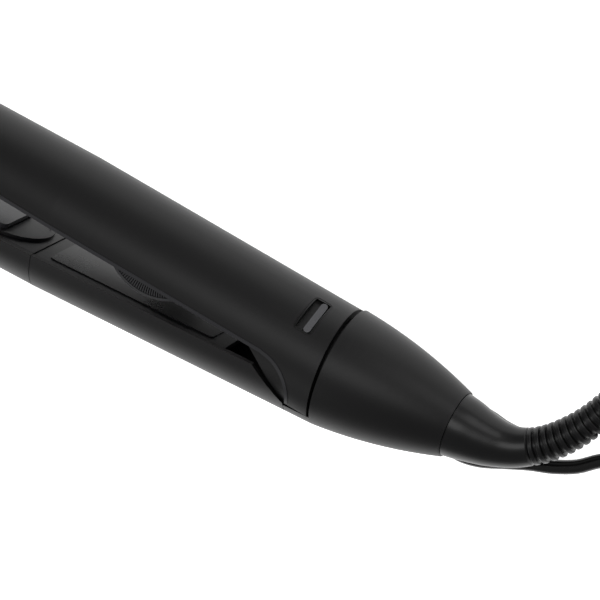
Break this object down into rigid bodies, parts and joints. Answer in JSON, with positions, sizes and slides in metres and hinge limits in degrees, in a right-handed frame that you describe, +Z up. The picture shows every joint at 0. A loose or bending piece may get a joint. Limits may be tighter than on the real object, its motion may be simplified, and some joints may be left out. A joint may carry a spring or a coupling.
{
  "type": "hair styler",
  "caption": "Matte black two-arm hair styling iron with sprung hinge, floating heater plates, rocker switch, tail cone, bent strain relief and coiled mains cord.",
  "frame": {"origin": "centre of the underside of the styler without its cord, which lies on its side", "axes": "+X from the arms' tips to the tail, +Y from the fixed arm to the moving arm, +Z up, along the hinge pin"},
  "size_m": [0.41, 0.0841, 0.0376],
  "materials": {
    "matte_shell": "fine matte black",
    "inner_cover": "satin black",
    "label": "blank dark label, satin",
    "insulator": "mica-filled, matte",
    "silicone": "red silicone",
    "steel": "satin",
    "wire": "silicone-covered wire",
    "relief": "semi-gloss black",
    "cord": "glossy black",
    "tie": "woven black",
    "plug": "semi-gloss black",
    "pins": "bright",
    "grip": "fine ribs, satin",
    "board": "green resist",
    "components": "moulded",
    "switch_plastic": "matte black",
    "rocker": "satin dark grey, glossy ends",
    "plate": "ceramic-coated aluminium, glossy black",
    "ceramic": "white ceramic",
    "sensor": "coated"
  },
  "bodies": {
    "base": {"lower_housing": "matte_shell", "lower_front_shell": "matte_shell", "lower_tip_cap": "matte_shell", "lower_inner_cover": "inner_cover", "rating_label": "label", "lower_plate_frame": "inner_cover", "lower_plate_carrier": "insulator", "lower_cushions": "silicone", "lower_cover_screws": "steel", "lower_heater_leads": "wire", "thermal_fuse": "steel", "hinge_base": "matte_shell", "hinge_pin": "steel", "arm_springs": "steel", "tail_cone": "matte_shell", "tail_screws": "steel", "cord_clamp": "inner_cover", "supply_wires": "wire", "strain_relief": "relief", "cord": "cord", "cord_coil": "cord", "coil_tie": "tie", "plug_body": "plug", "plug_pins": "pins"},
    "upper_arm": {"upper_housing": "matte_shell", "upper_tip_cap": "matte_shell", "upper_inner_cover": "inner_cover", "upper_plate_frame": "inner_cover", "upper_plate_carrier": "insulator", "upper_cushions": "silicone", "upper_cover_screws": "steel", "upper_heater_leads": "wire", "finger_grips": "grip", "circuit_board": "board", "board_components": "components", "switch_bezel": "switch_plastic", "switch_body": "switch_plastic"},
    "lower_plate_unit": {"lower_plate": "plate", "lower_heater": "ceramic", "lower_sensor": "sensor"},
    "upper_plate_unit": {"upper_plate": "plate", "upper_heater": "ceramic", "upper_sensor": "sensor"},
    "rocker_unit": {"rocker": "rocker"}
  },
  "joints": [
    {"name": "arm_hinge", "type": "hinge", "parent": "base", "child": "upper_arm", "pos_m": [0.078, -0.01516, 0.0185], "axis": [0, 0, 1], "range_deg": [0, 4.5], "stiffness_Nm_per_rad": 0.8, "springref_deg": -8.59},
    {"name": "lower_plate_float", "type": "slide", "parent": "base", "child": "lower_plate_unit", "axis": [0, 1, 0], "range_m": [-0.0008, 0], "stiffness_N_per_m": 2500, "springref_m": 0.0004},
    {"name": "upper_plate_float", "type": "slide", "parent": "upper_arm", "child": "upper_plate_unit", "axis": [0.0785, 0.9969, 0], "range_m": [0, 0.0008], "stiffness_N_per_m": 2500, "springref_m": -0.0004},
    {"name": "rocker_tilt", "type": "hinge", "parent": "upper_arm", "child": "rocker_unit", "pos_m": [0.0776, 0.00458, 0.02542], "axis": [0.9969, -0.0785, 0], "range_deg": [-8, 0]}
  ]
}
